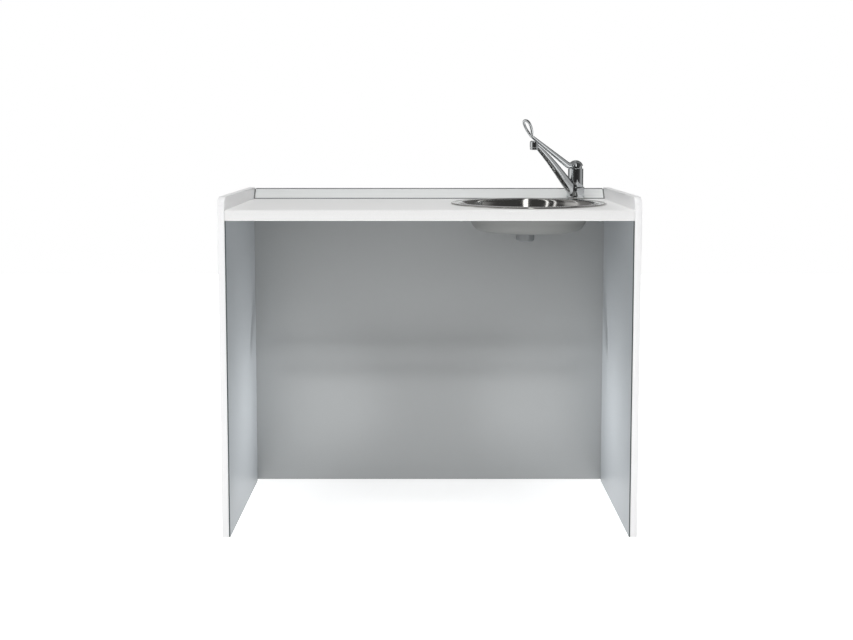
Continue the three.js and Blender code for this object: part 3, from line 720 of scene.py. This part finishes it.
# %% [markdown]
# ## Rear upstand
# A hollow rail closes the gap to the wall. Soft lips run along its top and its foot, pressed
# against the wall and the worktop, and a moulded cap closes each end. The rail keeps its own mesh.
# The lips and caps are small sections with soft corners, carried along their length.

# %% Lips and end caps


def along_x(name, outline, node, ease):
    """An outline of depth and height, softened and carried from a node's left to its right."""
    path = np.array([[low_of(node)[0], 0, 0], [high_of(node)[0], 0, 0]])
    shell = carried(path, Y_AXIS, UP, softened(outline, ease))
    finished(skin(name, [shell]), LIP, "root", [node])


def lip(node, slope):
    """A strip whose front leans back by slope from its foot to its top."""
    low, high = low_of(node), high_of(node)
    outline = [[high[1], low[2]], [high[1], high[2]], [low[1] + slope, high[2]], [low[1], low[2]]]
    along_x(node.replace("lip", "seal"), outline, node, 0.7 * MM)


lip("upstand_top_lip", 1.0 * MM)
lip("upstand_foot_lip", 1.4 * MM)
for word in ("left", "right"):
    node = f"upstand_end_cap_{word}"
    low, high = low_of(node), high_of(node)
    outline = [[high[1], low[2]], [high[1], high[2]], [high[1] - 4 * MM, high[2]],
               [low[1], low[2] + 3 * MM], [low[1], low[2]]]
    along_x(f"upstand_cap_{word}", outline, node, 0.8 * MM)

# %% [markdown]
# ## Bowl
# The bowl is pressed from one round sheet: a rolled rim, a steep wall, a wide fillet and a nearly
# flat floor with an off-centre hole. A turned shape alone would put the hole in the middle. Here
# each ring of the grid is a circle, and over the floor the rings' middle slides towards the hole,
# so one grid covers it all without a seam.

# %% The bowl's line
SHEET = 1.2  # millimetres
FLOOR_RADIUS, FLOOR_DEPTH, HOLE_RADIUS = 118, -74.4, 21


def curve(points, steps):
    """A smooth curve pulled by its middle points, as weights that rise and fall along it."""
    points = np.asarray(points, float)
    t = np.linspace(0, 1, steps)[:, None]
    order = len(points) - 1
    weights = [math.comb(order, k) * t ** k * (1 - t) ** (order - k) for k in range(order + 1)]
    return np.hstack(weights) @ points


def bowl_line():
    """Radius and height from the rim's edge inwards to the hole, and how far each ring's middle
    has slid towards the hole."""
    rim = curve([[216, 0.6], [216.4, 3.0], [214.6, 4.2], [211, 4.2]], 12)
    crown = curve([[211, 4.2], [206, 4.2], [205, 2.6], [200, 2.8], [192, 3.1], [189, 3.9]], 18)[1:]
    roll = curve([[189, 3.9], [184, 5.0], [181.5, 2], [178.6, -8]], 16)[1:]
    wall = curve([[178.6, -8], [173, -26], [168, -38], [160, -46]], 8)[1:]
    fillet = curve([[160, -46], [152, -64], [146, -73.5], [FLOOR_RADIUS, FLOOR_DEPTH]], 20)[1:]
    side = np.vstack([rim, crown, roll, wall, fillet])
    share = np.linspace(0, 1, 22)[1:, None]
    floor = np.hstack([FLOOR_RADIUS + (HOLE_RADIUS - FLOOR_RADIUS) * share,
                       FLOOR_DEPTH - 0.6 * share])
    slide = (WASTE[1] - BOWL[1]) / MM * share[:, 0]
    return np.vstack([side, floor]), np.concatenate([np.zeros(len(side)), slide])


print("bowl's line has", len(bowl_line()[0]), "points")

# %% Bowl


def bowl():
    """The underside is the same line, moved out square to itself by the sheet's thickness, with
    the rim's own edge drawn in. Both are turned, each ring about its own middle."""
    inside, slide = bowl_line()
    way = np.gradient(inside, axis=0)
    way /= np.linalg.norm(way, axis=1, keepdims=True)
    outside = inside + SHEET * np.stack([-way[:, 1], way[:, 0]], 1)
    outside[:3, 0] = np.minimum(outside[:3, 0], [215.9, 215.2, 214.6])
    outside[:3, 1] = [0.4, 1.0, 1.7]
    line = np.vstack([inside, outside[::-1]])
    points, faces = turned(line, 192)
    points = points.reshape(len(line), -1, 3)
    points[..., 1] += np.concatenate([slide, slide[::-1]])[:, None]
    return skin("bowl", [moved((points.reshape(-1, 3), faces), BOWL)])


def coated(shell):
    """The coat is one at each point that faces down, below the worktop and inside the roll."""
    place, normal = (np.empty(len(shell.data.vertices) * 3) for _ in range(2))
    shell.data.vertices.foreach_get("co", place)
    shell.data.vertex_normals.foreach_get("vector", normal)
    place = (place.reshape(-1, 3) - BOWL) / MM
    radius = np.hypot(place[:, 0], place[:, 1])
    under = (normal.reshape(-1, 3)[:, 2] < -0.05) & (radius < 190) & (place[:, 2] < 0)
    coat = shell.data.attributes.new("coat", "FLOAT", "POINT")
    coat.data.foreach_set("value", under.astype(float))
    return shell


finished(coated(bowl()), STAINLESS, "root", ["sink_bowl"], 50)

# %% [markdown]
# ## Waste and strainer
# The water leaves through a chrome flange with a lift-out strainer in it. The flange is one
# outline turned on a lathe. The strainer is turned too, and a ring of holes is drilled through it.
# Drawing the holes into the grid would be harder, and no smoother.

# %% Flange


def placed(name, shell, node, slot, place, axes=(X_AXIS, Y_AXIS, UP)):
    """One shell on the fixed body, put in its place and given the finish of its slot."""
    thing = skin(name, [moved(shell, place, axes)])
    finished(thing, FINISHES[slot], "root", [node])


flange = [[19.2, -90.7], [20.4, -90.7], [20.4, -74.7], [32, -74.7], [32, -73.9], [30, -72.9],
          [23.5, -73.4], [19.2, -77.7]]
placed("drain_flange", turned(softened(flange, 0.9)), "waste_flange", "chrome", WASTE)

# %% Strainer
HOLES, HOLE_CIRCLE = 6, 11.5  # how many, and how far from the middle in millimetres


def strainer():
    """A domed dish with a knob, through which a ring of round holes is cut."""
    z = -79
    dish = [[0, z - 2], [16.9, z - 2], [16.9, z - 6], [18.4, z - 6], [18.4, z], [16.4, z + 0.9],
            [7, z + 1.7], [3, z + 2.2], [2.6, z + 5.5], [6, z + 8], [5, z + 10.2], [0, z + 10.5]]
    dome = skin("strainer_dish", [moved(turned(softened(dish, 0.7), 72), WASTE)])
    angle = 2 * np.pi * np.arange(HOLES) / HOLES
    drill = [[0, z - 4], [2, z - 4], [2, z + 4], [0, z + 4]]
    places = WASTE + HOLE_CIRCLE * MM * np.stack([np.cos(angle), np.sin(angle), 0 * angle], 1)
    cut(dome, [moved(turned(drill, 24), place) for place in places])
    finished(dome, CHROME, "strainer", ["strainer_basket"])


strainer()

# %% [markdown]
# ## Waste body and pipe
# Under the floor a low body turns the water into a plastic pipe, and the pipe runs back through a
# collar in the panel. The body is a moulding: a pot with a branch, both turned, then joined. A
# nut's grip ribs come from the same turned grid, by letting its radius rise and fall.

# %% Waste body
AXIS = WASTE - 97 * MM * UP  # the middle of the branch and the pipe
pot = [[0, -113], [22, -113], [26, -109], [26, -83.1], [31, -83.1], [31, -79.1], [21.5, -79.1],
       [23.5, -84.1], [23.5, -110], [0, -110]]
branch = [[12.8, 24.5], [14.8, 24.5], [14.8, 52], [12.8, 52]]
body = fused("waste_pot", [moved(turned(softened(pot, 1)), WASTE),
                           moved(turned(softened(branch, 0.5)), AXIS, LYING)])
finished(body, GREY_PLASTIC, "root", ["waste_body"])

# %% Nut, pipe and collar


def ribbed(shell, count, depth, beyond):
    """Grip ribs: beyond a radius, a turned piece shrinks by depth in count even grooves."""
    points, faces = shell
    reach = np.hypot(points[:, 0], points[:, 1])
    groove = np.cos(count * np.arctan2(points[:, 1], points[:, 0])) > 0.2
    points[:, :2] *= np.where(reach > beyond, 1 - depth / np.maximum(reach, 1) * groove, 1)[:, None]
    return points, faces


nut = [[15.1, 40], [18, 40], [19, 42], [19, 52], [17, 57], [12.8, 57], [12.8, 52.3], [15.1, 52.3]]
placed("compression_nut", ribbed(turned(softened(nut, 0.6), 144), 18, 0.9, 17.5), "waste_nut",
       "grey_plastic", AXIS, LYING)
rear = (high_of("waste_pipe")[1] - WASTE[1]) / MM
pipe = [[10.7, 32], [12.5, 32], [12.5, rear], [10.7, rear]]
placed("drain_pipe", turned(softened(pipe, 0.4)), "waste_pipe", "grey_plastic", AXIS, LYING)
start = (low_of("pipe_collar")[1] - WASTE[1]) / MM
collar = [[12.8, start], [17, start], [19, start + 1.5], [19, start + 3], [12.8, start + 3]]
placed("wall_collar", turned(softened(collar, 0.6)), "pipe_collar", "grey_plastic", AXIS, LYING)

# %% [markdown]
# ## Mixer: the fixed column
# The column is a brass casting, turned, polished and chromed. Below the worktop it ends in a
# threaded shank. The thread is drawn as plain rings, which look the same as a true helix and turn
# with the rest. A ball's upper part covers the cartridge, and the lever's hood rides above it.

# %% Column
GROOVE, CREST = 15.3, 16  # the thread's two radii
pitch = np.arange(-41, -2, 0.75)
thread = np.stack([np.where(np.arange(len(pitch)) % 2, CREST, GROOVE), pitch], 1)
upper = softened([[CREST, 1.5], [25, 1.5], [25, 3.1], [24, 3.7], [17.2, 3.7], [17.2, 37.3],
                  [22.5, 37.3], [22.5, PIVOT - 2.7], [14, PIVOT - 2.7], [14, 42], [0, 42], [0, 34],
                  [11, 34], [11, -42], [GROOVE, -42], [GROOVE, -41.5]], 0.6)
placed("mixer_column", turned(np.vstack([thread, upper])), "tap_body", "chrome", TAP)

# %% Dome


def dome():
    """A ball's upper part, open at the top: points at one radius from the pivot, foot to lip."""
    radius, foot, mouth = 18.8, -2.4, 13
    angle = np.linspace(math.asin(foot / radius), math.acos(mouth / radius), 24)
    outer = np.stack([radius * np.cos(angle), PIVOT + radius * np.sin(angle)], 1)
    inner = [[12.4, PIVOT + 13.3], [14, PIVOT + 8], [14, PIVOT + foot]]
    return turned(np.vstack([outer, inner]))


placed("cartridge_dome", dome(), "cartridge_cover", "chrome", TAP)

# %% [markdown]
# ## Mixer: the swivel spout
# The spout is cast with its collar, so it can turn about the column. An oval section, tall at the
# root and slim at the tip, climbs from the collar to a short drop nozzle. A tube swept by Blender's
# own curve tools keeps one section, so the oval is carried along the line by hand and shrinks on
# the way. The three shells are joined into one piece, and a separate ring makes the aerator.

# %% Ovals and arms


def oval(wide, tall, power=0.85, steps=40):
    """Closed ovals, one a row, a little squarer than an ellipse."""
    angle = np.linspace(0, 2 * np.pi, steps, endpoint=False)
    bend = lambda wave: np.sign(wave) * np.abs(wave) ** power
    wide, tall = np.atleast_1d(wide)[:, None], np.atleast_1d(tall)[:, None]
    return np.stack([wide * bend(np.cos(angle)), tall * bend(np.sin(angle))], -1)


def arm(line, wide, tall):
    """An oval carried along a line of reach and height, square to it, with both ends drawn in."""
    reach, height = line.T
    path = np.stack([reach, 0 * reach, height], 1)
    along = np.gradient(path, axis=0)
    along /= np.linalg.norm(along, axis=1, keepdims=True)
    rise = np.stack([-along[:, 2], 0 * reach, along[:, 0]], 1)
    inward = np.r_[0.02, 0.35, 0.7, np.ones(len(line)), 0.7, 0.35, 0.02]
    path, rise = (np.vstack([v[:1]] * 3 + [v] + [v[-1:]] * 3) for v in (path, rise))
    wide, tall = (np.r_[[v[0]] * 3, v, [v[-1]] * 3] * inward for v in (wide, tall))
    return carried(path, Y_AXIS, rise, oval(wide, tall))


print("an oval has", oval(1, 1).shape[1], "points")

# %% Spout
NOZZLE_REACH = 176  # millimetres from the column's axis
CLEAR = 23.6        # the arm's root stays outside this radius, off the column


def nozzle():
    """A turned plug whose top leans with the lever: the lean grows evenly over its upper half."""
    outline = [[0, 153.9], [12.2, 153.9], [12.2, 167], [10.4, 170.4], [5, 171.4], [0, 171.5]]
    points, faces = turned(softened(outline, 1.2))
    upper_share = ((points[:, 2] - 160) / 11.5).clip(0, 1)
    points[:, 2] += 0.45 * points[:, 0] * upper_share
    return points + [NOZZLE_REACH, 0, 0], faces


def spout():
    """A collar, an arm that thins along its length, and a nozzle at its tip."""
    line = curve([[15, 30], [34, 42], [80, 92], [118, 126], [150, 148], [174, 163]], 40)
    t = np.linspace(0, 1, len(line))
    points, faces = arm(line, 12 - 3.2 * t, 17.8 - 12.9 * t ** 1.2)
    reach = np.hypot(points[:, 0], points[:, 1])
    points[:, :2] *= (np.maximum(reach, CLEAR) / np.maximum(reach, 1e-6))[:, None]
    collar = softened([[17.6, 5.3], [26, 5.3], [26, 36], [25, 37], [17.6, 37]], 1)
    shells = [(points, faces), turned(collar), nozzle()]
    casting = fused("spout_casting", [moved(shell, TAP, ARM) for shell in shells])
    finished(casting, CHROME, "spout_arm", ["spout"], 40)


spout()

# %% Aerator
outline = [[0, 149.6], [8.4, 149.6], [9, 148], [10.8, 148], [11.6, 149], [11.6, 153.7], [0, 153.7]]
tip = TAP + NOZZLE_REACH * MM * REACH
aerator = skin("aerator_ring", [moved(turned(softened(outline, 0.4)), tip)])
finished(aerator, CHROME, "spout_arm", ["aerator"])

# %% [markdown]
# ## Mixer: the long lever
# A care lever is long enough for an elbow or a wrist. Its hood is a ball's cap that hides the
# cartridge, its arm tapers, and its end turns up into a flat loop. A post under the hood reaches
# down to the pin that it turns on. All are cast in one, so the shells are joined at the end.

# %% Hood and arm
BEND, TIP = np.array([186.0, 186.0]), np.array([213.0, 233.6])  # the loop's ends: reach, height
HOOD, HOOD_INSIDE = 22.5, 20.0  # radii about the pivot
HOOD_TILT = math.radians(14)


def hood():
    """A cap between two balls, cut by a plane just above the pivot and tipped towards the arm."""
    plane = 3.8
    angles = lambda radius: np.linspace(math.asin(plane / radius), np.pi / 2, 40)
    arc = lambda radius, angle: np.stack([radius * np.cos(angle), radius * np.sin(angle)], 1)
    points, faces = turned(np.vstack([arc(HOOD, angles(HOOD)),
                                      arc(HOOD_INSIDE, angles(HOOD_INSIDE)[::-1])]))
    x, y, z = points.T
    tipped = np.stack([x * math.cos(HOOD_TILT) + z * math.sin(HOOD_TILT), y,
                       z * math.cos(HOOD_TILT) - x * math.sin(HOOD_TILT)], 1)
    return tipped + [0, 0, PIVOT], faces


def lever_arm():
    """The root is pushed out to a ball inside the hood's wall, so that the hood stays hollow."""
    root_start, root_end, straight = 12, 34, 152
    root_line = curve([[root_start, PIVOT + 5.6], [24, PIVOT + 7], [root_end, PIVOT + 8]], 8)
    line = np.vstack([root_line, np.linspace([40, PIVOT + 10.8], BEND + [1.5, 1], 30)])
    t = np.clip((line[:, 0] - root_end) / straight, 0, 1)
    root = np.clip((line[:, 0] - root_start) / (root_end - root_start), 0, 1)
    points, faces = arm(line, 7.6 - 2.0 * t, (7.4 + 2.2 * root) - 5.2 * t)
    centre = np.array([0, 0, PIVOT])
    away = points - centre
    reach = np.linalg.norm(away, axis=1, keepdims=True)
    in_wall = 21.3
    return centre + away * np.maximum(reach, in_wall) / np.maximum(reach, 1e-6), faces


print("hood", HOOD, "mm, pivot", round(PIVOT, 1), "mm above the worktop")

# %% Loop and stem


def loop():
    """A pear-shaped ring: its half width is the sine of the way round, times a share that grows
    towards the tip. A flat oval section is carried round it, square to the ring."""
    length = np.linalg.norm(TIP - BEND)
    rise = (TIP - BEND) / length
    angle = np.linspace(0, 2 * np.pi, 72, endpoint=False)
    along = (1 - np.cos(angle)) / 2
    wide = np.sign(np.sin(angle)) * np.abs(np.sin(angle)) ** 0.8 * (5.2 + 9.6 * along ** 0.8)
    high = 1 + (length - 4) * along
    centre = np.stack([BEND[0] + rise[0] * high, wide, BEND[1] + rise[1] * high], 1)
    way = np.roll(centre, -1, 0) - np.roll(centre, 1, 0)
    way /= np.linalg.norm(way, axis=1, keepdims=True)
    face = np.array([-rise[1], 0, rise[0]])
    section = oval(3.7, 3.6, 0.7, 24)
    points = (centre[:, None] + section[..., :1] * np.cross(way, face)[:, None]
              + section[..., 1:] * face)
    return points.reshape(-1, 3), grid_faces(len(centre), section.shape[1], True, True)


def stem():
    """A square post from the hood's roof down to an eye about the pin, and the eye itself."""
    post = carried(np.array([[0, 0, PIVOT + 1.0], [0, 0, PIVOT + 21.2]]), X_AXIS, Y_AXIS,
                   softened([[-4, -4], [4, -4], [4, 4], [-4, 4]], 1))
    points, faces = turned(softened([[1.8, -4], [4.4, -4], [4.4, 4], [1.8, 4]], 0.4), 48)
    return [post, (points[:, [0, 2, 1]] + [0, 0, PIVOT], faces)]


shells = [hood(), lever_arm(), loop(), *stem()]
lever = fused("lever_casting", [moved(shell, TAP, ARM) for shell in shells])
finished(lever, CHROME, "lever", ["mixer_lever"], 40)

# %% [markdown]
# ## Under the worktop
# A plate and a nut pull the mixer down on its seal. A nut is a turned ring whose outer radius
# follows a hexagon instead of a circle, which keeps its bore round and its corners chamfered.

# %% Clamp and nut


def hexagonal(shell, beyond):
    """Beyond a radius, each point moves out or in so that its ring becomes a hexagon."""
    points, faces = shell
    reach = np.hypot(points[:, 0], points[:, 1])
    turn = (np.arctan2(points[:, 1], points[:, 0]) % (np.pi / 3)) - np.pi / 6
    factor = np.cos(np.pi / 6) / np.cos(turn)
    points[:, :2] *= np.where(reach > beyond, factor, 1)[:, None]
    return points, faces


under = (low_of("worktop")[2] - TOP) / MM - 0.3
nut_low = under - 12
backnut = [[16.3, nut_low], [22.5, nut_low], [24, nut_low + 1], [24, under - 5.3],
           [22.5, under - 4.3], [16.3, under - 4.3]]
placed("clamp_nut", hexagonal(turned(softened(backnut, 0.3)), 18), "tap_backnut", "zinc_steel", TAP)
plate = [[16.6, under - 4], [24, under - 4], [24, under - 2.3], [16.6, under - 2.3]]
placed("clamp_disc", turned(softened(plate, 0.3)), "tap_clamp_plate", "zinc_steel", TAP)

# %% [markdown]
# ## Copper tails
# Two copper tails bring the water: each drops inside the shank, bends to the rear and ends in a
# union. A plumber bends them by hand, so a round section is carried along two joined curves. The
# section keeps upright on the way by staying square to the side of the unit.

# %% A tail's line
DROP, BEND_HEIGHT, TUBE_RADIUS = -62, 16, 5


def tail(shank, outlet, hand):
    """Straight down at shank, round a bend, and back at outlet; then a circle carried along it."""
    bend_top = [shank, 0, DROP + BEND_HEIGHT]
    middle = [(shank + outlet) / 2, BEND_HEIGHT * 0.9, DROP]
    rearward = [middle, [outlet - hand, 22, DROP], [outlet, 26, DROP], [outlet, 38, DROP]]
    line = np.vstack([np.linspace([shank, 0, 0], bend_top, 6)[:-1],
                      curve([bend_top, [shank, 0, DROP + 2], [shank, 4, DROP], middle], 14)[:-1],
                      curve(rearward, 12)])
    way = np.gradient(line, axis=0)
    way /= np.linalg.norm(way, axis=1, keepdims=True)
    side = np.cross(np.cross(way, X_AXIS), way)
    side /= np.linalg.norm(side, axis=1, keepdims=True)
    return carried(line, side, np.cross(way, side), oval(TUBE_RADIUS, TUBE_RADIUS, 1, 32)[0])


print("tails drop", -DROP, "mm")

# %% Copper tails and unions
for word, hand in (("hot", -1), ("cold", 1)):
    tube = tail(5.3 * hand, 14 * hand, hand)
    placed(f"{word}_copper_tail", tube, f"{word}_tail", "copper", TAP)
    end = (high_of(f"{word}_inlet_union")[1] - TAP[1]) / MM
    outline = [[5.3, 34], [9.6, 34], [11, 35], [11, 43], [9.6, 44], [8, 44], [8, end], [0, end],
               [0, 40], [5.3, 40]]
    placed(f"{word}_union", hexagonal(turned(softened(outline, 0.3)), 9), f"{word}_inlet_union",
           "zinc_steel", TAP + np.array([14 * hand, 0, DROP]) * MM, LYING)

# %% [markdown]
# ## Panel screws
# Eight zinc screws hold the boards together. A screw is turned, and its cross recess is the same
# grid pushed down wherever a point lies inside one of the cross's two bars. That costs nothing,
# while cutting the recess out of eight screws would take longer and look no better.

# %% Panel screws
RECESS = 1.6  # millimetres deep


def cross(x, y):
    """One inside either bar of a cross, falling to nothing over the bar's sloping sides."""
    bar = lambda across, along: (np.clip((0.75 - across) / 0.25, 0, 1)
                                 * np.clip((3 - along) / 0.4, 0, 1))
    return np.maximum(bar(x, y), bar(y, x))


def screw(node, hand):
    """A flat head with a cross recess, a straight shank and a blunt tip, along the x axis."""
    head_face = np.stack([np.linspace(0, 4.4, 20), np.full(20, -0.05)], 1)
    shank = [[4.8, -0.2], [5, -0.6], [5, -3.9], [3.5, -4], [3.5, -48], [2.2, -50], [0, -50]]
    points, faces = turned(np.vstack([head_face, shank]), 96)
    on_face = points[:, 2] > -0.1
    points[:, 2] -= RECESS * cross(np.abs(points[:, 0]), np.abs(points[:, 1])) * on_face
    outer_end = high_of(node)[0] if hand > 0 else low_of(node)[0]
    axes = (Y_AXIS, UP, X_AXIS) if hand > 0 else (-Y_AXIS, UP, -X_AXIS)
    placed(node.replace("_screw", "_fixing"), (points, faces), node, "zinc_steel",
           np.array([outer_end, *middle_of(node)[1:]]), axes)


for word, hand in (("left", -1), ("right", 1)):
    for spot in ("top_front", "top_rear", "back_upper", "back_lower"):
        screw(f"{word}_{spot}_screw", hand)

# %% [markdown]
# ## Clip screws and glides
# Four small hexagon screws draw the bowl's clips up against the worktop, and four moulded glides
# keep the boards' feet off a wet floor. A glide is a round pad pulled long, which gives it two
# half-round ends and straight sides from one turned grid.

# %% Clip screws
bolt = [[0, -43], [3.4, -43], [4, -42.4], [4, -39], [2, -39], [2, -28.3], [0, -28.3]]
for number in range(1, 5):
    node = f"sink_clip_screw_{number}"
    placed(f"clip_bolt_{number}", hexagonal(turned(softened(bolt, 0.2), 48), 3), node,
           "zinc_steel", np.array([*middle_of(node)[:2], TOP]))

# %% Glides
GLIDE_RADIUS = 7  # millimetres


def glide(node):
    """The two halves of each circle move apart along the board, until the pad is long enough."""
    length, tall = ((high_of(node) - low_of(node)) / MM)[1:]
    pad = [[0, 0], [GLIDE_RADIUS - 0.8, 0], [GLIDE_RADIUS, 0.8], [GLIDE_RADIUS, tall], [0, tall]]
    points, faces = turned(softened(pad, 0.5), 48)
    points[:, 1] += (length / 2 - GLIDE_RADIUS) * np.sign(np.round(points[:, 1], 6))
    placed(node.replace("glide", "pad"), (points, faces), node, "cream_plastic",
           np.array([*middle_of(node)[:2], low_of(node)[2]]))


for word in ("left", "right"):
    for end in ("front", "rear"):
        glide(f"{word}_{end}_glide")
